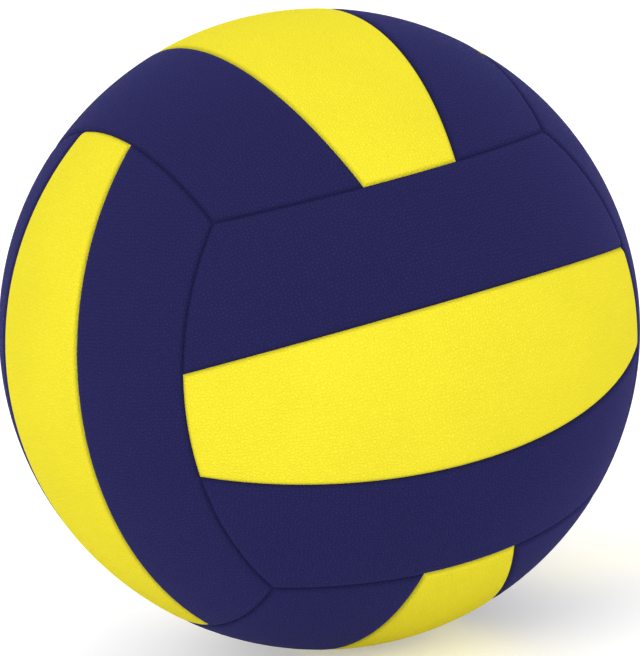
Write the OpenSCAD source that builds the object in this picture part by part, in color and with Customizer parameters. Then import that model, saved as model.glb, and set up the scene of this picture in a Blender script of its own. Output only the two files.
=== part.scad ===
// Indoor volleyball: six faces of three strips, each strip a cover panel with its own foam backing,
// bonded to a rubber carcass over a thread-wound bladder, with a needle valve in the back face.
// The origin is the centre of the ball. The front face looks along -Y and the valve along +Y.

/* [Ball] */
// Circumference of the inflated ball
ball_circumference = 660; // [650:1:670]
// Width of a centre panel across its middle, along the surface
centre_panel_w = 54; // [48:0.5:58]
// Width of a side panel across its middle, along the surface
side_panel_w = 42.5; // [41:0.5:46]

/* [Layers] */
// Thickness of the synthetic leather covers
cover_t = 1.6; // [1.4:0.1:2]
// Thickness of the foam backing under each cover
foam_t = 1.6; // [1:0.1:3]
// Thickness of the rubber carcass
carcass_t = 0.8; // [0.5:0.1:1.5]
// Thickness of the thread winding
winding_t = 0.8; // [0.5:0.1:1.5]
// Thickness of the bladder wall
bladder_t = 0.6; // [0.5:0.1:1.2]

/* [Seams] */
// Gap between the walls of two neighbouring panels
seam_gap = 0.2; // [0.1:0.05:0.4]
// Width of a panel's skived edge, from the seam to the full thickness
shoulder_w = 2.8; // [2:0.1:4]
// Depth of the skived edge where it turns down into the seam
shoulder_depth = 0.3; // [0.2:0.05:0.4]
// Width of the steep part of the skived edge
edge_w = 1; // [0.8:0.1:1.4]
// Depth of the groove between two panels
seam_depth = 1; // [0.7:0.1:1.2]

/* [Valve] */
// Diameter of the valve neck that shows in the cover
neck_d = 8; // [7:0.5:9]
// Depth of the valve face below the cover
neck_recess = 0.6; // [0.3:0.1:1]
// Bevel round the top of the neck, and of the plug in it
neck_bevel = 0.3; // [0.1:0.1:0.4]
// Bevel round the mouth of the valve hole in the cover
hole_bevel = 0.5; // [0.2:0.1:0.8]
// Clearance round the neck in the layers that it passes through
neck_clearance = 0.2; // [0.1:0.05:0.4]
// Diameter of the flange bonded inside the bladder
flange_d = 26; // [20:1:32]
// Thickness of the flange at its rim
flange_rim_t = 0.4; // [0.3:0.1:0.8]
// Depth of the flange at the barrel, below the bladder's inside
flange_root_t = 1.6; // [1:0.1:3]
// Length of the barrel inside the bladder
barrel_l = 8; // [6:0.5:12]
// Diameter of the barrel
barrel_d = 10; // [9:0.5:12]
// Diameter of the core plug
core_d = 5; // [4.5:0.5:5.5]
// Diameter of the core's retaining collar
collar_d = 7; // [6:0.5:8]
// Length of the straight part of the collar
collar_l = 1; // [0.5:0.5:2]
// Length of the tip below the collar
core_tip_l = 2.5; // [1.5:0.5:4]
// Diameter of the tip at its end
core_tip_d = 4; // [3.5:0.5:5]
// Diameter of the needle hole
needle_d = 2; // [1.8:0.1:2.4]
// Length of the straight part of the needle hole
needle_hole_l = 5; // [4:0.5:7]
// Diameter of the lead-in at the mouth of the needle hole
lead_in_d = 3.4; // [2.6:0.2:3.4]
// Depth of the lead-in
lead_in_depth = 0.8; // [0.4:0.1:1.2]
// Width of the sealing slit below the needle hole
slit_w = 2.6; // [2:0.1:3]
// Opening of the slit
slit_gap = 0.2; // [0.1:0.05:0.3]

/* [Colours] */
// Colour of the centre panels
centre_colour = "#F8E935"; // ["#F8E935", "gold", "white"]
// Colour of the side panels
side_colour = "#2A2957"; // ["#2A2957", "navy", "royalblue"]

/* [Hidden] */
$fn = 180;

// Radii of the layers, from the outside in
ball_r = ball_circumference / (2 * PI);
foam_r = ball_r - cover_t;
carcass_r = foam_r - foam_t;
winding_r = carcass_r - carcass_t;
bladder_r = winding_r - winding_t;
air_r = bladder_r - bladder_t;

// Angle at the ball's centre that a length along the surface spans
function arc_angle(length) = length / ball_r * 180 / PI;

// A strip seam lies on a great circle, leaning this far from the middle plane of its face.
strip_lean = arc_angle(centre_panel_w / 2);

// A face seam ends at two corners of the cube that the six faces stand for. Half-way, it lies
// face_reach from the middle plane of the face whose side panel it borders. Those three points fix
// a circle, at face_seam_angle from an axis that leans face_seam_tilt from the other face's normal.
face_reach = arc_angle(centre_panel_w / 2 + side_panel_w);
corner = 1 / sqrt(3);
face_seam_tilt = atan((sin(face_reach) - corner) / (cos(face_reach) - corner));
face_seam_angle = 90 - face_reach + face_seam_tilt;

// Section of a skived edge: the depth below the surface, and the distance from the seam, of the foot
// of the steep slope, of the turn between the two slopes and of the crest of the shallow one
EDGE_FOOT = [seam_depth, 0];
EDGE_TURN = [shoulder_depth, edge_w];
EDGE_CREST = [0, shoulder_w];

// Reach of a shape that stands for the whole space round the ball
beyond = 2 * ball_r;

// Heights along the valve's axis, from the ball's centre
neck_top = ball_r - neck_recess;
flange_sag = air_r - sqrt(pow(air_r, 2) - pow(flange_d / 2, 2));
barrel_bottom = air_r - barrel_l;
collar_bottom = barrel_bottom - collar_l;
core_bottom = collar_bottom - core_tip_l;
needle_hole_bottom = neck_top - lead_in_depth - needle_hole_l;

// A face is its name, the directions of its strips, of its width and of its normal, and the names
// of its strips from the positive side of the width to the negative side.
FACES = [
    ["front",  [1, 0, 0],  [0, 0, 1],  [0, -1, 0], ["upper", "centre", "lower"]],
    ["back",   [-1, 0, 0], [0, 0, 1],  [0, 1, 0],  ["upper", "centre", "lower"]],
    ["top",    [0, 1, 0],  [-1, 0, 0], [0, 0, 1],  ["left", "centre", "right"]],
    ["bottom", [0, 1, 0],  [1, 0, 0],  [0, 0, -1], ["right", "centre", "left"]],
    ["left",   [0, 0, 1],  [0, 1, 0],  [-1, 0, 0], ["rear", "centre", "front"]],
    ["right",  [0, 0, 1],  [0, -1, 0], [1, 0, 0],  ["front", "centre", "rear"]],
];
STRIPS = [0, 1, 2];
CENTRE = 1;
VALVE_FACE = FACES[1];

// Seams round a strip, in its face's axes: those at its two ends, then those along its sides. A seam
// is the turn that carries +Z to its axis, and the angle from that axis that the strip lies within.
// The side strip on the negative side has the seams of the other one, turned half round.
function strip_seams(strip) =
    let (turn = strip > CENTRE ? 180 : 0)
    concat(
        [for (end = [0, 180]) [[0, face_seam_tilt, end], face_seam_angle]],
        strip == CENTRE
            ? [for (side = [0, 180]) [[90 - strip_lean, 0, side], 90]]
            : [[[-90 - strip_lean, 0, turn], 90], [[90 - face_seam_tilt, 0, turn], 180 - face_seam_angle]]
    );

function panel_name(face, strip, piece) = str(face[0], "_", face[4][strip], "_", piece);
function holds_valve(face, strip) = face == VALVE_FACE && strip == CENTRE;

// Carries a shape from a face's own axes, strips along X and normal along Z, to its place on the ball
module on_face(face) {
    along = face[1];
    across = face[2];
    out = face[3];
    multmatrix([for (i = [0:2]) [along[i], across[i], out[i], 0]]) children();
}

// Hollow ball about the origin
module shell(outer_r, inner_r) {
    difference() {
        sphere(r = outer_r);
        sphere(r = inner_r);
    }
}

// Point of a skived edge's section, beside a seam that lies at an angle from its axis, here +Z
function edge_point(place, seam_angle) =
    let (radius = ball_r - place[0], angle = seam_angle - arc_angle(place[1]))
    [radius * sin(angle), radius * cos(angle)];

// Ball about a point of the Z axis whose surface passes through two points of a section
module ball_through(p, q) {
    centre = (q * q - p * p) / (2 * (q[1] - p[1]));
    translate([0, 0, centre]) sphere(r = norm(p - [0, centre]));
}

// Room on the kept side of a seam's wall, which stands square to the surface: a plane for a seam on
// a great circle, or else a ball that crosses the surface at right angles
module seam_wall(angle) {
    if (angle == 90)
        translate([-beyond, -beyond, seam_gap / 2]) cube([2 * beyond, 2 * beyond, beyond]);
    else if (angle < 90)
        translate([0, 0, ball_r / cos(angle)]) sphere(r = ball_r * tan(angle) - seam_gap / 2);
    else
        difference() {
            sphere(r = beyond);
            translate([0, 0, ball_r / cos(angle)]) sphere(r = seam_gap / 2 - ball_r * tan(angle));
        }
}

// One layer of a strip, cut off square at its seams. The poles of its round surfaces lie off the strip.
module strip_layer(strip, outer_r, inner_r) {
    intersection() {
        rotate([0, 90, 0]) shell(outer_r, inner_r);
        intersection_for(seam = strip_seams(strip)) rotate(seam[0]) seam_wall(seam[1]);
    }
}

// Room under one slope of a strip's skived edges, which rises from one point of their section to another
module under_slope(strip, low, high) {
    intersection_for(seam = strip_seams(strip))
        rotate(seam[0]) ball_through(edge_point(low, seam[1]), edge_point(high, seam[1]));
}

// Hole for the valve's neck through a layer, in the valve's axes
module neck_hole(clearance) {
    translate([0, 0, air_r / 2]) cylinder(d = neck_d + 2 * clearance, h = air_r);
}

// Bevel of the hole's mouth in the cover, carried on past the surface
module hole_mouth() {
    hole_d = neck_d + 2 * neck_clearance;
    translate([0, 0, ball_r - hole_bevel])
        cylinder(d1 = hole_d, d2 = hole_d + 4 * hole_bevel, h = 2 * hole_bevel);
}

// Synthetic leather cover of one strip, its edges skived to meet its neighbours in a groove
module cover_panel(face, strip) {
    color(strip == CENTRE ? centre_colour : side_colour)
        on_face(face)
            difference() {
                intersection() {
                    strip_layer(strip, ball_r, foam_r);
                    under_slope(strip, EDGE_FOOT, EDGE_TURN);
                    under_slope(strip, EDGE_TURN, EDGE_CREST);
                }
                if (holds_valve(face, strip)) {
                    neck_hole(neck_clearance);
                    hole_mouth();
                }
            }
}

// Foam bonded under one cover, cut to the same outline
module foam_backing(face, strip) {
    color("ivory")
        on_face(face)
            difference() {
                strip_layer(strip, foam_r, carcass_r);
                if (holds_valve(face, strip)) neck_hole(neck_clearance);
            }
}

// A closed layer under the panels, with the hole for the valve's neck
module ball_layer(outer_r, inner_r, clearance) {
    on_face(VALVE_FACE)
        difference() {
            shell(outer_r, inner_r);
            neck_hole(clearance);
        }
}

// Rubber skin that the panels are bonded to
module carcass() {
    color("saddlebrown") ball_layer(carcass_r, winding_r, neck_clearance);
}

// Nylon thread wound over the bladder in every direction
module winding() {
    color("whitesmoke") ball_layer(winding_r, bladder_r, neck_clearance);
}

// Butyl bladder, bonded to the valve's neck and flange
module bladder() {
    color("dimgray") ball_layer(bladder_r, air_r, 0);
}

// Moulded valve body: neck through the wall, flange on the bladder's inside, barrel for the core
module valve_housing() {
    rim = air_r - flange_sag - flange_rim_t;
    root = air_r - flange_root_t;
    color("darkslategray")
        on_face(VALVE_FACE)
            difference() {
                union() {
                    cylinder(d = neck_d, h = neck_top - neck_bevel);
                    translate([0, 0, neck_top - neck_bevel])
                        cylinder(d1 = neck_d, d2 = neck_d - 2 * neck_bevel, h = neck_bevel);
                    cylinder(d = barrel_d, h = root);
                    intersection() {
                        sphere(r = air_r);
                        rotate_extrude()
                            polygon([[0, root], [barrel_d / 2, root], [flange_d / 2, rim],
                                     [flange_d / 2, ball_r], [0, ball_r]]);
                    }
                }
                cylinder(d = flange_d, h = barrel_bottom);
                cylinder(d = core_d, h = ball_r);
            }
}

// Soft plug held in the housing by its collar, with the needle hole and the slit that seals it
module valve_core() {
    collar_r = collar_d / 2;
    color("gainsboro")
        on_face(VALVE_FACE)
            difference() {
                rotate_extrude()
                    polygon([[0, core_bottom], [core_tip_d / 2, core_bottom],
                             [collar_r, collar_bottom], [collar_r, barrel_bottom],
                             [core_d / 2, barrel_bottom], [core_d / 2, neck_top - neck_bevel],
                             [core_d / 2 - neck_bevel, neck_top], [0, neck_top]]);
                translate([0, 0, needle_hole_bottom]) cylinder(d = needle_d, h = ball_r);
                translate([0, 0, neck_top - lead_in_depth])
                    cylinder(d1 = needle_d, d2 = lead_in_d, h = lead_in_depth);
                translate([-slit_w / 2, -slit_gap / 2, 0]) cube([slit_w, slit_gap, needle_hole_bottom]);
            }
}

for (face = FACES)
    for (strip = STRIPS) {
        cover_panel(face, strip);
        foam_backing(face, strip);
    }
carcass();
winding();
bladder();
valve_housing();
valve_core();
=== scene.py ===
"""Indoor volleyball: covers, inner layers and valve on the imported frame, in a plain studio."""

import math

import bpy
from mathutils import Color, Matrix, Vector


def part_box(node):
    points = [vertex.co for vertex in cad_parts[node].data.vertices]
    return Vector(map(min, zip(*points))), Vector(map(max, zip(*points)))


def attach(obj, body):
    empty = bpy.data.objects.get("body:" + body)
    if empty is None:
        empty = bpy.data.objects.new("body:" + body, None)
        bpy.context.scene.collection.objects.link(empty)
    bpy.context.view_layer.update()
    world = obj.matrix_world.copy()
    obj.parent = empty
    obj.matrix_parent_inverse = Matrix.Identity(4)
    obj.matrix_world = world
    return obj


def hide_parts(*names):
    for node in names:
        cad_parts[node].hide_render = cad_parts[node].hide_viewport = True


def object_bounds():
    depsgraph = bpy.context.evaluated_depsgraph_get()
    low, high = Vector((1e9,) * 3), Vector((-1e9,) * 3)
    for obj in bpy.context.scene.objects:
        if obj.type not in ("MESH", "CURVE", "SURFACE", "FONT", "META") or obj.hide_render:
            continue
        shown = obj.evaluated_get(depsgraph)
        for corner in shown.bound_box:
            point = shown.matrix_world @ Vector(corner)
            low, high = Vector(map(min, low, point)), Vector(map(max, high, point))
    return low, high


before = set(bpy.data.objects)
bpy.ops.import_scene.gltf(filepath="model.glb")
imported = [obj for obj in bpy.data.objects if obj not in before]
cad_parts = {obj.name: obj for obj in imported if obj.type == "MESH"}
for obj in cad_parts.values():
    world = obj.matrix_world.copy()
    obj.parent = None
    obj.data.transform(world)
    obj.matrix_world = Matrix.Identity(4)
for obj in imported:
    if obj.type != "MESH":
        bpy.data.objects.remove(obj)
CAD_BOX = [list(corner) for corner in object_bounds()]

bl_info = {
    "name": "Volleyball",
    "version": (1, 0, 0),
    "blender": (4, 5, 0),
    "location": "View3D > Sidebar > Volleyball",
    "description": "Dresses a panelled volleyball and sets it in a plain studio",
    "category": "Object",
}

BODY = "root"
BALL_RADIUS = (CAD_BOX[1][0] - CAD_BOX[0][0]) / 2

# A face's axes, along its strips, across them and out of the ball, and the names of its strips
# from the positive side of the width to the negative side
FACES = {
    "front": ((1, 0, 0), (0, 0, 1), (0, -1, 0), ("upper", "centre", "lower")),
    "back": ((-1, 0, 0), (0, 0, 1), (0, 1, 0), ("upper", "centre", "lower")),
    "top": ((0, 1, 0), (-1, 0, 0), (0, 0, 1), ("left", "centre", "right")),
    "bottom": ((0, 1, 0), (1, 0, 0), (0, 0, -1), ("right", "centre", "left")),
    "left": ((0, 0, 1), (0, 1, 0), (-1, 0, 0), ("rear", "centre", "front")),
    "right": ((0, 0, 1), (0, -1, 0), (1, 0, 0), ("front", "centre", "rear")),
}
STRIPS = (0, 1, 2)
CENTRE = 1
VALVE_FACE = "back"
# Share of a strip's width or length at its middle
MIDDLE = 0.5

# Mesh lines beside a cover's edge, as shares of the groove's half width
EDGE_LINES = (0, 0.04, 0.11, 0.2, 0.32, 0.5, 0.72, 1, 1.36)
# Power of the curve by which a cover's edge turns down into the seam
EDGE_CURVE = 2.7
# Rounds in which the corner of a strip is found
CORNER_ROUNDS = 40
# Rings of mesh round the valve's hole, as shares of the way from the block that is cut out to the lip
HOLE_RINGS = (0.35, 0.7, 1)
# Mesh lines over the rounded lip of the hole, as shares of the lip's radius
LIP_LINES = (0.7, 0.45, 0.25, 0.1, 0)
# Angle between faces above which an edge stays crisp
CRISP_ANGLE = math.radians(35)
# Parts of a cover's texture map for its outside, walls and underside, each as its low and high ends
OUTSIDE_MAP = (0.2, 0.99)
WALL_MAP = (0.14, 0.18)
UNDERSIDE_MAP = (0.01, 0.12)
MAP_MARGIN = 0.01

# Range that holds most values of a noise
NOISE_RANGE = (0.3, 0.7)
# Scatter of the leather's pebbles, from 0 in a regular grid to 1
PEBBLE_SCATTER = 0.85
# Bend of a pebble's outline, width of its rounded shoulder and width of a pore, as shares of its width
PEBBLE_BEND = 0.4
PEBBLE_SHOULDER = 0.36
PORE_WIDTH = 0.2
# Height of a pore, as a share of a pebble's height
PORE_HEIGHT = 0.25
# Brightness of the leather's colour in the painted shade between its pebbles and at the bottom of a
# seam
CREASE_PAINTED_SHADE = 0.7
SEAM_PAINTED_SHADE = 0.45
LEATHER_ROUGHNESS = (0.5, 0.64)
SHEEN_ROUGHNESS = 0.5
# Depth of a foam cell as a share of its width, and the brightness of the painted shade between cells,
# where the surface dips
FOAM_CELL_DEPTH = 0.2
FOAM_PAINTED_SHADE = 0.78
FOAM_ROUGHNESS = (0.7, 0.95)
# Height of the rubber's grain as a share of its width, and the brightness of its colour low and high
RUBBER_GRAIN_HEIGHT = 0.1
RUBBER_SHADES = (0.88, 1.1)
RUBBER_ROUGHNESS_SPREAD = 0.2
# Range of a noise in which dust settles
DUST_RANGE = (0.4, 0.7)
DUST_COLOUR = (0.62, 0.6, 0.57, 1)
# Directions in which the thread is wound, as turns about the three axes
THREAD_TURNS = ((0.3, 0.2, 0.0), (1.2, 0.5, 0.9), (0.4, 1.3, 2.1), (2.0, 0.8, 1.5))
# Waver of the threads, and the width of a patch in which one direction lies on top
THREAD_WAVER = 1.5
THREAD_PATCH = 0.02
# Range of the threads' heights over which their colour brightens from the shade between them
THREAD_RISE = (0.1, 0.5)
THREAD_SHADE = 0.45
# Height of the threads as a share of their pitch, and their roughness between and on top
THREAD_HEIGHT = 0.5
THREAD_ROUGHNESS = (0.75, 0.45)
# Angle that the wave texture's bands run through in a unit of length at a scale of 1
WAVE_ANGLE = 20
# Numbers of the Mix node's sockets for colours
MIX_SHARE = 0
MIX_FIRST = 6
MIX_SECOND = 7
MIX_RESULT = 2


def screen_colour(red, green, blue):
    """Linear colour of a screen colour whose channels run from 0 to 255"""
    return tuple(Color((red / 255, green / 255, blue / 255)).from_srgb_to_scene_linear())


def length_property(name, description, default):
    """Property that holds a length in metres"""
    return bpy.props.FloatProperty(
        name=name, description=description, default=default, min=0, precision=5, unit="LENGTH"
    )


def colour_property(name, description, default):
    """Property that holds a linear colour"""
    return bpy.props.FloatVectorProperty(
        name=name, description=description, default=default, min=0, max=1, size=3, subtype="COLOR"
    )


def angle_property(name, description, degrees):
    """Property that holds an angle, whose default is given in degrees"""
    return bpy.props.FloatProperty(
        name=name, description=description, default=math.radians(degrees), subtype="ANGLE"
    )


def power_property(name, description, default):
    """Property that holds the power of a lamp in watts"""
    return bpy.props.FloatProperty(
        name=name, description=description, default=default, min=0, unit="POWER"
    )


def share_property(name, description, default):
    """Property that holds a share from 0 to 1"""
    return bpy.props.FloatProperty(
        name=name,
        description=description,
        default=default,
        min=0,
        max=1,
        precision=3,
        subtype="FACTOR",
    )


def lens_property(name, description, default):
    """Property that holds a focal length in millimetres"""
    return bpy.props.FloatProperty(
        name=name, description=description, default=default, min=1, unit="CAMERA"
    )


def number_property(name, description, default):
    """Property that holds a plain number"""
    return bpy.props.FloatProperty(name=name, description=description, default=default, precision=5)


class VolleyballSizes(bpy.types.PropertyGroup):
    """Sizes of the pieces, measured along the surface where they are widths of covers"""

    ball_radius: length_property("Ball radius", "Radius of the inflated ball", BALL_RADIUS)
    centre_width: length_property("Centre width", "Width of a centre cover across its middle", 0.054)
    side_width: length_property("Side width", "Width of a side cover across its middle", 0.0425)
    cover_thickness: length_property("Cover thickness", "Thickness of the leather", 0.0016)
    seam_gap: length_property("Seam gap", "Gap between the walls of two covers", 0.00002)
    groove_half_width: length_property("Groove half width", "Width of a cover's turned edge", 0.0028)
    groove_depth: length_property("Groove depth", "Depth of the groove between two covers", 0.001)
    hole_diameter: length_property("Valve hole", "Diameter of the valve's hole in its cover", 0.0084)
    lip_radius: length_property("Hole lip", "Radius of the rounded lip of the valve's hole", 0.0006)
    neck_diameter: length_property("Valve neck", "Diameter of the valve's neck in the bladder", 0.008)
    bladder_thickness: length_property("Bladder thickness", "Thickness of the bladder's wall", 0.0006)
    mesh_step: length_property("Mesh step", "Widest spacing of the mesh lines of a cover", 0.0035)
    hole_mesh_step: length_property("Hole mesh step", "The same on the valve's cover", 0.0012)
    layer_mesh_step: length_property("Layer mesh step", "The same on the inner layers", 0.005)


class VolleyballColours(bpy.types.PropertyGroup):
    """Colours of the ball's materials"""

    centre: colour_property("Centre covers", "Yellow leather", screen_colour(248, 233, 53))
    side: colour_property("Side covers", "Navy leather", screen_colour(41, 40, 87))
    foam: colour_property("Foam", "Foam behind the covers", screen_colour(238, 230, 206))
    carcass: colour_property("Carcass", "Rubber skin of the carcass", screen_colour(122, 82, 50))
    thread: colour_property("Thread", "Nylon thread of the winding", screen_colour(232, 231, 224))
    bladder: colour_property("Bladder", "Butyl rubber of the bladder", screen_colour(34, 34, 35))
    valve: colour_property("Valve", "Rubber of the valve's body", screen_colour(38, 38, 41))
    plug: colour_property("Plug", "Rubber of the valve's plug", screen_colour(150, 149, 146))


class VolleyballFinish(bpy.types.PropertyGroup):
    """Grain, gloss, sheen, dust and painted shade of the ball's materials"""

    grain_width: length_property("Leather grain", "Width of a pebble of the leather's grain", 0.0012)
    grain_height: length_property("Grain height", "Height of the leather's grain", 0.00015)
    leather_gloss: share_property("Leather gloss", "Specular level of the leather", 0.004)
    yellow_sheen: number_property("Yellow sheen", "Sheen of the yellow, as a share of its colour", 0.6)
    navy_sheen: number_property("Navy sheen", "Sheen of the navy, as a share of its colour", 1.5)
    # Painted shade between the pebbles of each leather
    yellow_crease_painted_shade: share_property("Yellow crease", "Darkening between pebbles of the yellow", 0.18)
    navy_crease_painted_shade: share_property("Navy crease", "Darkening between pebbles of the navy", 0.7)
    mottle: share_property("Mottle", "How far the leather's blots depart from its colour", 0.02)
    mottle_width: length_property("Mottle width", "Width of a blot on the leather", 0.03)
    # Painted shade at the bottom of a seam
    seam_painted_shade: share_property("Seam shade", "Darkening at the bottom of a seam", 0.5)
    foam_cell: length_property("Foam cell", "Width of a cell of the foam", 0.0005)
    rubber_gloss: share_property("Rubber gloss", "Specular level of the rubber", 0.3)
    rubber_grain: length_property("Rubber grain", "Width of the moulded rubber's grain", 0.0003)
    dust_patch: length_property("Dust patch", "Width of a patch of dust on the rubber", 0.004)
    thread_pitch: length_property("Thread pitch", "Spacing of the winding's threads", 0.0006)


class VolleyballStudio(bpy.types.PropertyGroup):
    """Camera, lights and floor"""

    azimuth: angle_property("Azimuth", "Turn of the camera about the ball, 0 looks along +Y", -26.21)
    elevation: angle_property("Elevation", "Height of the camera as an angle", 14.68)
    roll: angle_property("Roll", "Turn of the camera to the right about its view", 9.12)
    distance: length_property("Distance", "From the ball's centre to the camera", 1.88)
    lens: lens_property("Lens", "Focal length in millimetres on a 36 mm sensor", 314.7)
    shift_x: number_property("Shift across", "Sideways shift of the lens", 0.00085)
    shift_y: number_property("Shift up", "Upward shift of the lens", 0.0016)
    fill: number_property("Fill light", "Strength of the even light from all round", 0.94)
    key_power: power_property("Key light", "Power of the softbox on the left", 3.5)
    key_turn: angle_property("Key turn", "Turn of that softbox from the camera", -40)
    key_elevation: angle_property("Key elevation", "Height of that softbox as an angle", 32)
    low_power: power_property("Low light", "Power of the low softbox on the right", 2.6)
    low_turn: angle_property("Low turn", "Turn of that softbox from the camera", 30)
    low_elevation: angle_property("Low elevation", "Height of that softbox as an angle", 9)
    softbox_size: length_property("Softbox size", "Diameter of a softbox", 0.9)
    softbox_distance: length_property("Softbox distance", "From the ball's centre to a softbox", 1.6)
    floor_size: length_property("Floor size", "Width of the floor", 24)
    floor_colour: colour_property("Floor", "Pale floor", (0.95, 0.95, 0.95))
    floor_lift: number_property("Floor lift", "Brightness that the lens sees added to the floor", 0.34)


class Strip:
    """Outline and section of one strip, in its face's axes: u along it, v across it and w outward.

    A place is an angle across the face from its middle plane and an angle along the strip. A strip
    seam lies on a great circle. A face seam is a circle through two corners of the cube that the
    six faces stand for, about an axis that is tilted from the normal of the face whose end it is.
    """

    def __init__(self, sizes, is_side, hole_radius=0.0):
        self.sizes = sizes
        self.radius = sizes.ball_radius
        self.is_side = is_side
        self.hole_radius = hole_radius
        self.mesh_step = sizes.hole_mesh_step if hole_radius else sizes.mesh_step
        self.inset = sizes.seam_gap / 2 / self.radius
        self.lean = sizes.centre_width / 2 / self.radius
        reach = self.lean + sizes.side_width / self.radius
        corner = 1 / math.sqrt(3)
        self.tilt = math.atan((math.sin(reach) - corner) / (math.cos(reach) - corner))
        self.seam_angle = math.pi / 2 - reach + self.tilt
        self.seams = self.seam_circles()
        self.low_corner = self.corner(self.low_edge)
        self.high_corner = self.corner(self.high_edge)
        self.middle = self.direction(MIDDLE, MIDDLE)

    def seam_circles(self):
        """Axis and angle of the four seams: the strip lies within that angle of each axis"""
        tilt_sine, tilt_cosine = math.sin(self.tilt), math.cos(self.tilt)
        lean_sine, lean_cosine = math.sin(self.lean), math.cos(self.lean)
        square = math.pi / 2
        ends = [(Vector((side * tilt_sine, 0, tilt_cosine)), self.seam_angle) for side in (-1, 1)]
        if self.is_side:
            return ends + [
                (Vector((0, lean_cosine, -lean_sine)), square),
                (Vector((0, -tilt_cosine, tilt_sine)), math.pi - self.seam_angle),
            ]
        return ends + [(Vector((0, side * lean_cosine, lean_sine)), square) for side in (-1, 1)]

    def low_edge(self, along):
        """Angle across to the edge on the negative side, at an angle along the strip"""
        if not self.is_side:
            return -self.high_edge(along)
        return self.lean + math.asin(math.sin(self.inset) / math.cos(along))

    def high_edge(self, along):
        """Angle across to the edge on the positive side, at an angle along the strip"""
        if not self.is_side:
            return self.lean - math.asin(math.sin(self.inset) / math.cos(along))
        return self.tilt + math.asin(math.cos(self.seam_angle + self.inset) / math.cos(along))

    def end_edge(self, across):
        """Angle along to the end of the strip, at an angle across it"""
        out = math.cos(across) * math.cos(self.tilt)
        side = math.sin(self.tilt)
        turn = math.cos(self.seam_angle - self.inset) / math.hypot(out, side)
        return math.acos(turn) - math.atan2(side, out)

    def corner(self, edge):
        """Angles across and along where an edge meets the end of the strip"""
        across = self.lean
        for _ in range(CORNER_ROUNDS):
            along = self.end_edge(across)
            across = edge(along)
        return Vector((across, along))

    def direction(self, across_share, along_share):
        """Direction of a place that lies at shares of the strip's width and length"""
        low, high = self.low_corner, self.high_corner
        reach = 2 * along_share - 1
        on_low = Vector((self.low_edge(reach * low.y), reach * low.y))
        on_high = Vector((self.high_edge(reach * high.y), reach * high.y))
        across = low.x + (high.x - low.x) * across_share
        on_ends = Vector((across, reach * self.end_edge(across)))
        corners = low.lerp(high, across_share)
        place = on_low.lerp(on_high, across_share) + on_ends - Vector((corners.x, reach * corners.y))
        flat = math.cos(place.y)
        return Vector((math.sin(place.y), flat * math.sin(place.x), flat * math.cos(place.x)))

    def on_sheet(self, direction):
        """Place of a direction on the flat sheet that the cover is cut from, at equal area"""
        along = Vector((1, 0, 0))
        across = self.middle.cross(along)
        spread = self.radius * math.sqrt(2 / (1 + direction.dot(self.middle)))
        return Vector((direction.dot(along), direction.dot(across), 0)) * spread

    def seam_distances(self, direction):
        """Distances along the surface from a direction to the four edges of the cover"""
        return [
            max(0.0, self.radius * (angle - self.inset - direction.angle(axis)))
            for axis, angle in self.seams
        ]

    def drop(self, direction):
        """Depth of the cover's outside below the ball's full radius"""
        full = 1.0
        for distance in self.seam_distances(direction):
            full *= 1 - max(0.0, 1 - distance / self.sizes.groove_half_width) ** EDGE_CURVE
        return self.sizes.groove_depth * (1 - full) + self.lip_drop(direction)

    def lip_drop(self, direction):
        """Depth of the rounded lip of the valve's hole"""
        lip = self.sizes.lip_radius
        inward = lip + self.hole_radius - self.radius * math.hypot(direction.x, direction.y)
        if not self.hole_radius or inward <= 0:
            return 0.0
        return lip - math.sqrt(max(0.0, lip**2 - inward**2))


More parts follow.
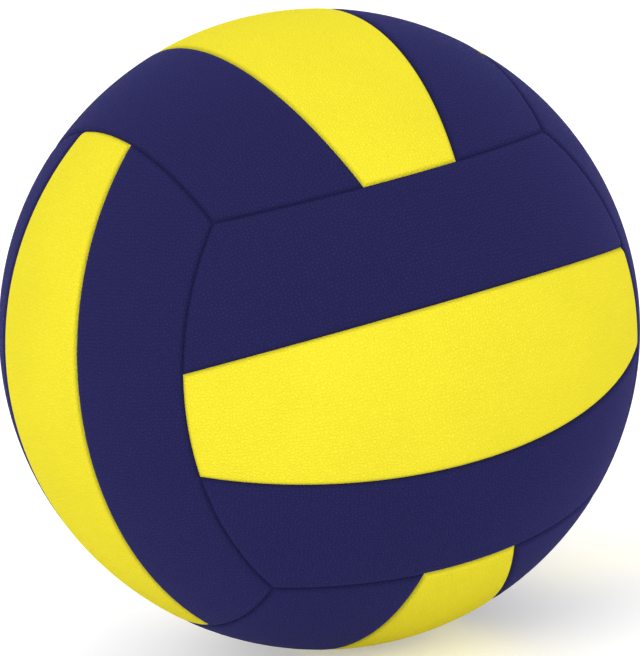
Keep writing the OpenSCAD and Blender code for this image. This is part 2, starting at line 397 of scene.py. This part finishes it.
class CoverGrid:
    """Mesh lines of one cover: its spots, the quads between them and the loops that bound it.

    A spot is a direction with its shares of the strip's width and length. The quads run
    counter-clockwise as seen from outside, and a loop runs the way that the quads beside it do.
    """

    def __init__(self, strip):
        self.strip = strip
        low, high = strip.low_edge(0), strip.high_edge(0)
        rows = self.line_shares(strip.radius * (high - low))
        columns = self.line_shares(2 * strip.radius * strip.end_edge((low + high) / 2))
        self.spots = {
            (row, column): (strip.direction(across, along), across, along)
            for row, across in enumerate(rows)
            for column, along in enumerate(columns)
        }
        self.last_row, self.last_column = len(rows) - 1, len(columns) - 1
        self.quads = [
            ((row, column), (row, column + 1), (row + 1, column + 1), (row + 1, column))
            for row in range(self.last_row)
            for column in range(self.last_column)
        ]
        self.loops = [self.loop_round(0, self.last_row, 0, self.last_column)]
        if strip.hole_radius:
            self.cut_hole()

    def line_shares(self, length):
        """Places of the mesh lines along a length, as shares of it, close together at both ends"""
        edge = [share * self.strip.sizes.groove_half_width for share in EDGE_LINES]
        inner = length - 2 * edge[-1]
        count = math.ceil(inner / self.strip.mesh_step)
        middle = [edge[-1] + inner * step / count for step in range(1, count)]
        lines = edge + middle + [length - place for place in reversed(edge)]
        return [line / length for line in lines]

    @staticmethod
    def loop_round(low_row, high_row, low_column, high_column):
        """Spots round a block of the grid, counter-clockwise"""
        return (
            [(low_row, column) for column in range(low_column, high_column)]
            + [(row, high_column) for row in range(low_row, high_row)]
            + [(high_row, column) for column in range(high_column, low_column, -1)]
            + [(row, low_column) for row in range(high_row, low_row, -1)]
        )

    @staticmethod
    def lines_beside(places, room):
        """Numbers of the nearest lines below and above the middle that leave it some room"""
        low = max(number for number, place in enumerate(places) if place < -room)
        high = min(number for number, place in enumerate(places) if place > room)
        return low, high

    def cut_hole(self):
        """Round hole in the middle of the cover, in place of a block of the grid"""
        strip = self.strip
        room = (strip.hole_radius + strip.sizes.lip_radius + strip.mesh_step) / strip.radius
        middle_row, middle_column = self.last_row // 2, self.last_column // 2
        row_places = [self.spots[row, middle_column][0].y for row in range(self.last_row + 1)]
        column_places = [self.spots[middle_row, column][0].x for column in range(self.last_column + 1)]
        low_row, high_row = self.lines_beside(row_places, room)
        low_column, high_column = self.lines_beside(column_places, room)
        self.quads = [
            quad
            for quad in self.quads
            if not (low_row <= quad[0][0] < high_row and low_column <= quad[0][1] < high_column)
        ]
        for row in range(low_row + 1, high_row):
            for column in range(low_column + 1, high_column):
                del self.spots[row, column]

        edge = self.loop_round(low_row, high_row, low_column, high_column)
        ring = edge
        for number in range(len(HOLE_RINGS) + len(LIP_LINES)):
            inner = [("hole", number, step) for step in range(len(edge))]
            for key, edge_key in zip(inner, edge):
                self.spots[key] = self.ring_spot(number, self.spots[edge_key])
            for step in range(len(edge)):
                after = (step + 1) % len(edge)
                self.quads.append((ring[step], ring[after], inner[after], inner[step]))
            ring = inner
        self.loops.append(list(reversed(ring)))

    def ring_spot(self, number, edge_spot):
        """Spot of one ring of the hole, on the line from its middle to a spot of the block's edge"""
        strip = self.strip
        lip = strip.sizes.lip_radius
        direction, across, along = edge_spot
        reach = strip.radius * math.hypot(direction.x, direction.y)
        if number < len(HOLE_RINGS):
            out = reach + (strip.hole_radius + lip - reach) * HOLE_RINGS[number]
        else:
            out = strip.hole_radius + lip * LIP_LINES[number - len(HOLE_RINGS)]
        share = out / reach
        x, y = direction.x * share, direction.y * share
        place = Vector((x, y, math.sqrt(1 - x**2 - y**2)))
        return place, MIDDLE + (across - MIDDLE) * share, MIDDLE + (along - MIDDLE) * share


def new_mesh(name, places, faces):
    """Smooth mesh whose sharp edges stay crisp"""
    mesh = bpy.data.meshes.new(name)
    mesh.from_pydata(places, [], faces)
    mesh.polygons.foreach_set("use_smooth", [True] * len(faces))
    mesh.set_sharp_from_angle(angle=CRISP_ANGLE)
    return mesh


def on_map(share_u, share_v, part):
    """Place on the texture map of shares of one of its parts"""
    low, high = part
    return (MAP_MARGIN + (1 - 2 * MAP_MARGIN) * share_u, low + (high - low) * share_v)


def cover_mesh(name, strip, turn, serial):
    """Closed mesh of one cover, turned from its face's axes to its place on the ball"""
    grid = CoverGrid(strip)
    keys = list(grid.spots)
    outside = {key: number for number, key in enumerate(keys)}
    underside = {key: number + len(keys) for number, key in enumerate(keys)}
    directions = [grid.spots[key][0] for key in keys]
    places = [direction * (strip.radius - strip.drop(direction)) for direction in directions]
    places += [direction * (strip.radius - strip.sizes.cover_thickness) for direction in directions]

    faces, corners = [], []
    for quad in grid.quads:
        shares = [grid.spots[key][1:] for key in quad]
        faces.append([outside[key] for key in quad])
        corners += [on_map(along, across, OUTSIDE_MAP) for across, along in shares]
        faces.append([underside[key] for key in reversed(quad)])
        corners += [on_map(along, across, UNDERSIDE_MAP) for across, along in reversed(shares)]
    for loop in grid.loops:
        for step, key in enumerate(loop):
            after = loop[(step + 1) % len(loop)]
            faces.append([outside[after], outside[key], underside[key], underside[after]])
            ends = (step + 1) / len(loop), step / len(loop)
            corners += [on_map(share, 1, WALL_MAP) for share in ends]
            corners += [on_map(share, 0, WALL_MAP) for share in reversed(ends)]

    mesh = new_mesh(name, [turn @ place for place in places], faces)
    bake_map = [share for corner in corners for share in corner]
    mesh.uv_layers.new(name="OFBake").data.foreach_set("uv", bake_map)
    from_seam = [min(strip.seam_distances(direction)) for direction in directions]
    mesh.attributes.new("seam_distance", "FLOAT", "POINT").data.foreach_set("value", from_seam * 2)
    cut_from = Vector((serial, 0, 0))
    on_sheet = [strip.on_sheet(direction) + cut_from for direction in directions]
    grain = [length for place in on_sheet for length in place]
    mesh.attributes.new("grain_place", "FLOAT_VECTOR", "POINT").data.foreach_set("vector", grain * 2)
    return mesh


def layer_mesh(name, radii, hole_radius, turn, step):
    """Closed mesh of a hollow ball between two radii, with a hole for the valve's neck.

    It is made of rings about the valve's axis, from the hole to the pole on the far side.
    """
    spokes = math.ceil(2 * math.pi * BALL_RADIUS / step)
    rings = math.ceil(math.pi * BALL_RADIUS / step)
    rounds = [2 * math.pi * spoke / spokes for spoke in range(spokes)]
    places = []
    for radius in radii:
        mouth = math.asin(hole_radius / radius)
        for ring in range(rings):
            angle = mouth + (math.pi - mouth) * ring / rings
            flat, out = radius * math.sin(angle), radius * math.cos(angle)
            places += [Vector((flat * math.cos(way), flat * math.sin(way), out)) for way in rounds]
        places.append(Vector((0, 0, -radius)))

    pole = rings * spokes
    inside = pole + 1
    faces = []
    for spoke in range(spokes):
        after = (spoke + 1) % spokes
        gore = [
            (start + spoke, start + spokes + spoke, start + spokes + after, start + after)
            for start in range(0, pole - spokes, spokes)
        ]
        gore.append((pole - spokes + spoke, pole, pole - spokes + after))
        faces += gore
        faces += [[inside + corner for corner in reversed(face)] for face in gore]
        faces.append((spoke, after, inside + after, inside + spoke))
    return new_mesh(name, [turn @ place for place in places], faces)


def add_piece(context, mesh, material, node):
    """Piece of a mesh and a material, in the stead of a node of the frame"""
    mesh.materials.append(material)
    piece = bpy.data.objects.new(mesh.name, mesh)
    context.scene.collection.objects.link(piece)
    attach(piece, BODY)
    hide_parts(node)


def face_turn(face):
    """Turn from a face's axes, along its strips, across them and outward, to the ball's"""
    along, across, out, _ = FACES[face]
    return Matrix((along, across, out)).transposed()


def lay_cover(context, face, strip_number, leather):
    """One cover in its place on the ball, in the stead of its panel in the frame"""
    strip_names = FACES[face][-1]
    sizes = context.scene.volleyball_sizes
    is_side = strip_number != CENTRE
    holds_valve = face == VALVE_FACE and not is_side
    strip = Strip(sizes, is_side, sizes.hole_diameter / 2 if holds_valve else 0.0)
    turn = face_turn(face)
    if strip_number > CENTRE:
        turn = turn @ Matrix.Rotation(math.pi, 3, "Z")
    name = f"{face}_{strip_names[strip_number]}"
    serial = list(FACES).index(face) * len(STRIPS) + strip_number
    mesh = cover_mesh(f"{name}_cover", strip, turn, serial)
    add_piece(context, mesh, leather, f"{name}_panel")


def layer_radius(node):
    """Outer radius of a layer of the frame, measured on the side away from the valve"""
    return -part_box(node)[0].y


def lay_layer(context, node, inner_radius, hole_diameter, material):
    """One closed layer under the covers, in the stead of its node in the frame"""
    radii = (layer_radius(node), inner_radius)
    step = context.scene.volleyball_sizes.layer_mesh_step
    mesh = layer_mesh(f"{node}_layer", radii, hole_diameter / 2, face_turn(VALVE_FACE), step)
    add_piece(context, mesh, material, node)


def dress(node_names, material):
    """A material on nodes of the frame"""
    for name in node_names:
        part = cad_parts[name]
        part.data.materials.clear()
        part.data.materials.append(material)


def add_node(tree, kind, values=None, **settings):
    """New shader node, with its settings and its inputs, each a number, a colour or a link"""
    made = tree.nodes.new("ShaderNode" + kind)
    for setting, value in settings.items():
        setattr(made, setting, value)
    for key, value in (values or {}).items():
        if isinstance(value, bpy.types.NodeSocket):
            tree.links.new(value, made.inputs[key])
        else:
            made.inputs[key].default_value = value
    return made


def calculate(tree, operation, *values):
    """Result of a calculation with numbers or links"""
    return add_node(tree, "Math", dict(enumerate(values)), operation=operation).outputs[0]


def remap(tree, value, source, target=(0, 1)):
    """Smooth step of a value from one range to another"""
    ends = {"From Min": source[0], "From Max": source[1], "To Min": target[0], "To Max": target[1]}
    made = add_node(tree, "MapRange", {"Value": value, **ends}, interpolation_type="SMOOTHSTEP")
    return made.outputs["Result"]


def mix_colour(tree, share, first, second):
    """Mix of two colours, by the share of the second"""
    values = {MIX_SHARE: share, MIX_FIRST: first, MIX_SECOND: second}
    return add_node(tree, "Mix", values, data_type="RGBA").outputs[MIX_RESULT]


def noise(tree, place, width, detail=2.0):
    """Noise whose blots are about a given width"""
    values = {"Vector": place, "Scale": 1 / width, "Detail": detail}
    return add_node(tree, "TexNoise", values).outputs["Fac"]


def shade(colour, strength):
    """A colour made darker or lighter"""
    return (*(channel * strength for channel in colour), 1.0)


def new_material(name, constants=None):
    """Material, its node tree and its Principled shader, with the inputs that are constant"""
    material = bpy.data.materials.new(name)
    material.use_nodes = True
    shader = material.node_tree.nodes["Principled BSDF"]
    for key, value in (constants or {}).items():
        shader.inputs[key].default_value = value
    return material, material.node_tree, shader


def finish_shader(tree, shader, colour, roughness, height, depth):
    """Colour, roughness and bump of a shader, all from nodes"""
    bump = add_node(tree, "Bump", {"Strength": 1.0, "Distance": depth, "Height": height})
    tree.links.new(colour, shader.inputs["Base Color"])
    tree.links.new(roughness, shader.inputs["Roughness"])
    tree.links.new(bump.outputs["Normal"], shader.inputs["Normal"])


def leather_pebbles(tree, place, width):
    """Heights of the leather's pebbles, from 0 to 1, with outlines that are bent by noise"""
    wander = add_node(tree, "TexNoise", {"Vector": place, "Scale": 1 / width}).outputs["Color"]
    bend = (PEBBLE_BEND * width,) * 3
    bent = add_node(tree, "VectorMath", {0: wander, 1: bend, 2: place}, operation="MULTIPLY_ADD")
    values = {"Vector": bent.outputs[0], "Scale": 1 / width, "Randomness": PEBBLE_SCATTER}
    cells = add_node(tree, "TexVoronoi", values, feature="DISTANCE_TO_EDGE", voronoi_dimensions="2D")
    return remap(tree, cells.outputs["Distance"], (0, PEBBLE_SHOULDER))


def cover_leather(name, colour, painted_crease_shade, sheen, scene):
    """Pebbled synthetic leather, a little mottled, with painted shade in its creases and at the bottom
    of its seams
    """
    finish = scene.volleyball_finish
    constants = {
        "Specular IOR Level": finish.leather_gloss,
        "Sheen Weight": 1.0,
        "Sheen Roughness": SHEEN_ROUGHNESS,
        "Sheen Tint": shade(colour, sheen),
    }
    material, tree, shader = new_material(name, constants)
    place = add_node(tree, "Attribute", attribute_name="grain_place").outputs["Vector"]
    from_seam = add_node(tree, "Attribute", attribute_name="seam_distance").outputs["Fac"]

    pebbles = leather_pebbles(tree, place, finish.grain_width)
    pores = noise(tree, place, PORE_WIDTH * finish.grain_width)
    height = calculate(tree, "MULTIPLY_ADD", pores, PORE_HEIGHT, pebbles)
    roughness = remap(tree, pores, NOISE_RANGE, LEATHER_ROUGHNESS)

    blots = remap(tree, noise(tree, place, finish.mottle_width, detail=4.0), NOISE_RANGE)
    tone = mix_colour(tree, blots, shade(colour, 1 - finish.mottle), shade(colour, 1 + finish.mottle))
    # Painted shade in the valleys between the pebbles
    crease_shade_mask = remap(tree, pebbles, (0, 1), (painted_crease_shade, 0))
    crease_shaded = mix_colour(tree, crease_shade_mask, tone, shade(colour, CREASE_PAINTED_SHADE))
    # Painted shade at the bottom of each seam, fading out over half the groove's width
    seam_shade_reach = scene.volleyball_sizes.groove_half_width / 2
    seam_shade = remap(tree, from_seam, (0, seam_shade_reach), (finish.seam_painted_shade, 0))
    seam_shaded = mix_colour(tree, seam_shade, crease_shaded, shade(colour, SEAM_PAINTED_SHADE))
    finish_shader(tree, shader, seam_shaded, roughness, height, finish.grain_height)
    return material


def backing_foam(colour, cell):
    """Closed-cell foam, its cells cut open, with painted shade between them"""
    material, tree, shader = new_material("backing_foam")
    place = add_node(tree, "TexCoord").outputs["Object"]
    cells = add_node(tree, "TexVoronoi", {"Vector": place, "Scale": 1 / cell}).outputs["Distance"]
    # Painted shade where the surface dips between cells
    tone = mix_colour(tree, cells, shade(colour, 1), shade(colour, FOAM_PAINTED_SHADE))
    roughness = remap(tree, cells, (0, 1), FOAM_ROUGHNESS)
    finish_shader(tree, shader, tone, roughness, cells, -FOAM_CELL_DEPTH * cell)
    return material


def moulded_rubber(name, colour, finish, dust, roughness):
    """Rubber with a fine moulded grain and a film of dust"""
    material, tree, shader = new_material(name, {"Specular IOR Level": finish.rubber_gloss})
    place = add_node(tree, "TexCoord").outputs["Object"]
    grain = noise(tree, place, finish.rubber_grain, detail=3.0)
    low, high = (shade(colour, strength) for strength in RUBBER_SHADES)
    tone = mix_colour(tree, remap(tree, grain, NOISE_RANGE), low, high)
    film = remap(tree, noise(tree, place, finish.dust_patch, detail=6.0), DUST_RANGE, (0, dust))
    dusty = mix_colour(tree, film, tone, DUST_COLOUR)
    matt = remap(tree, grain, NOISE_RANGE, (roughness, roughness + RUBBER_ROUGHNESS_SPREAD))
    finish_shader(tree, shader, dusty, matt, grain, RUBBER_GRAIN_HEIGHT * finish.rubber_grain)
    return material


def wound_thread(colour, pitch):
    """Nylon thread that crosses itself in several directions"""
    material, tree, shader = new_material("wound_thread")
    place = add_node(tree, "TexCoord").outputs["Object"]
    scale = 2 * math.pi / (WAVE_ANGLE * pitch)
    threads = 0.0
    for turn in THREAD_TURNS:
        turned = add_node(tree, "Mapping", {"Vector": place, "Rotation": turn}).outputs["Vector"]
        values = {"Vector": turned, "Scale": scale, "Distortion": THREAD_WAVER}
        wave = add_node(tree, "TexWave", values)
        over = calculate(tree, "MULTIPLY", wave.outputs["Fac"], noise(tree, turned, THREAD_PATCH))
        threads = calculate(tree, "MAXIMUM", over, threads)
    rise = remap(tree, threads, THREAD_RISE)
    tone = mix_colour(tree, rise, shade(colour, THREAD_SHADE), shade(colour, 1))
    roughness = remap(tree, threads, THREAD_RISE, THREAD_ROUGHNESS)
    finish_shader(tree, shader, tone, roughness, threads, THREAD_HEIGHT * pitch)
    return material


def seen_by_lens(tree):
    """1 on what the lens sees, by itself or in gloss or glass, and 0 on what gives light"""
    path = add_node(tree, "LightPath").outputs
    seen = path["Is Camera Ray"]
    for ray in ("Is Glossy Ray", "Is Transmission Ray"):
        seen = calculate(tree, "MAXIMUM", seen, path[ray])
    return seen


def studio_floor(colour, lift):
    """Matt pale floor that the lens sees as white, with the ball's shadow on it"""
    material, tree, shader = new_material("studio_floor")
    tree.nodes.remove(shader)
    matt = add_node(tree, "BsdfDiffuse", {"Color": shade(colour, 1)})
    seen_lift = calculate(tree, "MULTIPLY", seen_by_lens(tree), lift)
    glow = add_node(tree, "Emission", {"Strength": seen_lift})
    both = add_node(tree, "AddShader", {0: matt.outputs[0], 1: glow.outputs[0]})
    tree.links.new(both.outputs[0], tree.nodes["Material Output"].inputs["Surface"])
    return material


class VOLLEYBALL_OT_centre_covers(bpy.types.Operator):
    """Lay the yellow centre cover of each face, with the valve's hole in the back one"""

    bl_idname = "volleyball.centre_covers"
    bl_label = "Centre covers"

    def execute(self, context):
        scene = context.scene
        finish = scene.volleyball_finish
        colour = scene.volleyball_colours.centre
        # Painted shade between the pebbles, and the sheen
        painted_crease_shade, sheen = finish.yellow_crease_painted_shade, finish.yellow_sheen
        leather = cover_leather("yellow_leather", colour, painted_crease_shade, sheen, scene)
        for face in FACES:
            lay_cover(context, face, CENTRE, leather)
        return {"FINISHED"}


class VOLLEYBALL_OT_side_covers(bpy.types.Operator):
    """Lay the two navy side covers of each face"""

    bl_idname = "volleyball.side_covers"
    bl_label = "Side covers"

    def execute(self, context):
        scene = context.scene
        finish = scene.volleyball_finish
        colour = scene.volleyball_colours.side
        # Painted shade between the pebbles, and the sheen
        painted_crease_shade, sheen = finish.navy_crease_painted_shade, finish.navy_sheen
        leather = cover_leather("navy_leather", colour, painted_crease_shade, sheen, scene)
        for face in FACES:
            for strip_number in STRIPS:
                if strip_number != CENTRE:
                    lay_cover(context, face, strip_number, leather)
        return {"FINISHED"}


class VOLLEYBALL_OT_foam_backings(bpy.types.Operator):
    """Give the foam behind every cover its finish"""

    bl_idname = "volleyball.foam_backings"
    bl_label = "Foam backings"

    def execute(self, context):
        scene = context.scene
        foam = backing_foam(scene.volleyball_colours.foam, scene.volleyball_finish.foam_cell)
        for face, (_, _, _, strip_names) in FACES.items():
            dress([f"{face}_{strip}_foam" for strip in strip_names], foam)
        return {"FINISHED"}


class VOLLEYBALL_OT_inner_layers(bpy.types.Operator):
    """Lay the carcass, the winding and the bladder under the covers"""

    bl_idname = "volleyball.inner_layers"
    bl_label = "Inner layers"

    def execute(self, context):
        colours = context.scene.volleyball_colours
        sizes = context.scene.volleyball_sizes
        finish = context.scene.volleyball_finish
        hole, neck = sizes.hole_diameter, sizes.neck_diameter
        skin = moulded_rubber("carcass_rubber", colours.carcass, finish, dust=0.1, roughness=0.6)
        lay_layer(context, "carcass", layer_radius("winding"), hole, skin)
        thread = wound_thread(colours.thread, finish.thread_pitch)
        lay_layer(context, "winding", layer_radius("bladder"), hole, thread)
        butyl = moulded_rubber("bladder_rubber", colours.bladder, finish, dust=0.3, roughness=0.4)
        air_radius = layer_radius("bladder") - sizes.bladder_thickness
        lay_layer(context, "bladder", air_radius, neck, butyl)
        return {"FINISHED"}


class VOLLEYBALL_OT_valve(bpy.types.Operator):
    """Give the valve's body and its plug their finishes"""

    bl_idname = "volleyball.valve"
    bl_label = "Valve"

    def execute(self, context):
        colours = context.scene.volleyball_colours
        finish = context.scene.volleyball_finish
        body = moulded_rubber("valve_rubber", colours.valve, finish, dust=0.12, roughness=0.45)
        dress(["valve_housing"], body)
        plug = moulded_rubber("plug_rubber", colours.plug, finish, dust=0.2, roughness=0.55)
        dress(["valve_core"], plug)
        return {"FINISHED"}


class VOLLEYBALL_OT_studio(bpy.types.Operator):
    """Set up the floor, the lights and the camera"""

    bl_idname = "volleyball.studio"
    bl_label = "Studio"

    def execute(self, context):
        scene = context.scene
        studio = scene.volleyball_studio
        scene.view_settings.view_transform = "Standard"
        self.lay_floor(scene, studio)
        self.light_world(scene, studio)
        key_place = studio.key_turn, studio.key_elevation
        low_place = studio.low_turn, studio.low_elevation
        self.hang_softbox(scene, studio, "key_softbox", key_place, studio.key_power)
        self.hang_softbox(scene, studio, "low_softbox", low_place, studio.low_power)
        self.set_camera(scene, studio)
        return {"FINISHED"}

    @staticmethod
    def lay_floor(scene, studio):
        """Square floor that the ball stands on"""
        half = studio.floor_size / 2
        height = -scene.volleyball_sizes.ball_radius
        square = [(-half, -half), (half, -half), (half, half), (-half, half)]
        mesh = bpy.data.meshes.new("floor")
        mesh.from_pydata([(*corner, height) for corner in square], [], [range(len(square))])
        mesh.materials.append(studio_floor(studio.floor_colour, studio.floor_lift))
        floor = bpy.data.objects.new("floor", mesh)
        scene.collection.objects.link(floor)

    @staticmethod
    def light_world(scene, studio):
        """Even light from all round, which the lens sees as white"""
        world = bpy.data.worlds.new("studio")
        world.use_nodes = True
        tree = world.node_tree
        light = tree.nodes["Background"]
        light.inputs["Color"].default_value = (1, 1, 1, 1)
        light.inputs["Strength"].default_value = studio.fill
        white = add_node(tree, "Background", {"Color": (1, 1, 1, 1), "Strength": 1.0})
        lights = {0: seen_by_lens(tree), 1: light.outputs[0], 2: white.outputs[0]}
        both = add_node(tree, "MixShader", lights)
        tree.links.new(both.outputs[0], tree.nodes["World Output"].inputs["Surface"])
        scene.world = world

    @staticmethod
    def facing_ball(azimuth, elevation, roll, distance):
        """Place that looks at the ball's centre from a distance, turned to the right by the roll"""
        level = math.cos(elevation)
        back = Vector((math.sin(azimuth) * level, -math.cos(azimuth) * level, math.sin(elevation)))
        right = Vector((math.cos(azimuth), math.sin(azimuth), 0))
        rolled = right * math.cos(roll) - back.cross(right) * math.sin(roll)
        turn = Matrix((rolled, back.cross(rolled), back)).transposed()
        return Matrix.Translation(back * distance) @ turn.to_4x4()

    def hang_softbox(self, scene, studio, name, place, power):
        """Softbox at a turn from the camera and a height, both as angles"""
        turn, elevation = place
        light = bpy.data.lights.new(name, "AREA")
        light.shape = "DISK"
        light.size = studio.softbox_size
        light.energy = power
        softbox = bpy.data.objects.new(name, light)
        azimuth = studio.azimuth + turn
        softbox.matrix_world = self.facing_ball(azimuth, elevation, 0, studio.softbox_distance)
        scene.collection.objects.link(softbox)

    def set_camera(self, scene, studio):
        """Camera at the photograph's viewing angle"""
        lens = bpy.data.cameras.new("camera")
        lens.lens = studio.lens
        lens.shift_x = studio.shift_x
        lens.shift_y = studio.shift_y
        camera = bpy.data.objects.new("camera", lens)
        camera.matrix_world = self.facing_ball(
            studio.azimuth, studio.elevation, studio.roll, studio.distance
        )
        scene.collection.objects.link(camera)
        scene.camera = camera


class VOLLEYBALL_PT_build(bpy.types.Panel):
    """Sizes, colours, finishes and steps of the volleyball"""

    bl_label = "Volleyball"
    bl_space_type = "VIEW_3D"
    bl_region_type = "UI"
    bl_category = "Volleyball"

    def draw(self, context):
        for place in GROUPS:
            group = getattr(context.scene, place)
            box = self.layout.box()
            for name in group.__annotations__:
                box.prop(group, name)
        for operator in OPERATORS:
            self.layout.operator(operator.bl_idname)


# Property groups by their names in the scene
GROUPS = {
    "volleyball_sizes": VolleyballSizes,
    "volleyball_colours": VolleyballColours,
    "volleyball_finish": VolleyballFinish,
    "volleyball_studio": VolleyballStudio,
}
OPERATORS = (
    VOLLEYBALL_OT_centre_covers,
    VOLLEYBALL_OT_side_covers,
    VOLLEYBALL_OT_foam_backings,
    VOLLEYBALL_OT_inner_layers,
    VOLLEYBALL_OT_valve,
    VOLLEYBALL_OT_studio,
)
CLASSES = (*GROUPS.values(), *OPERATORS, VOLLEYBALL_PT_build)


def register():
    """Add the classes to Blender, and the property groups to its scenes"""
    for each in CLASSES:
        bpy.utils.register_class(each)
    for place, group in GROUPS.items():
        setattr(bpy.types.Scene, place, bpy.props.PointerProperty(type=group))


def unregister():
    """Take away what register has added"""
    for place in GROUPS:
        delattr(bpy.types.Scene, place)
    for each in reversed(CLASSES):
        bpy.utils.unregister_class(each)


def main():
    """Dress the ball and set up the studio"""
    register()
    bpy.ops.volleyball.centre_covers()
    bpy.ops.volleyball.side_covers()
    bpy.ops.volleyball.foam_backings()
    bpy.ops.volleyball.inner_layers()
    bpy.ops.volleyball.valve()
    bpy.ops.volleyball.studio()


if __name__ == "__main__":
    main()
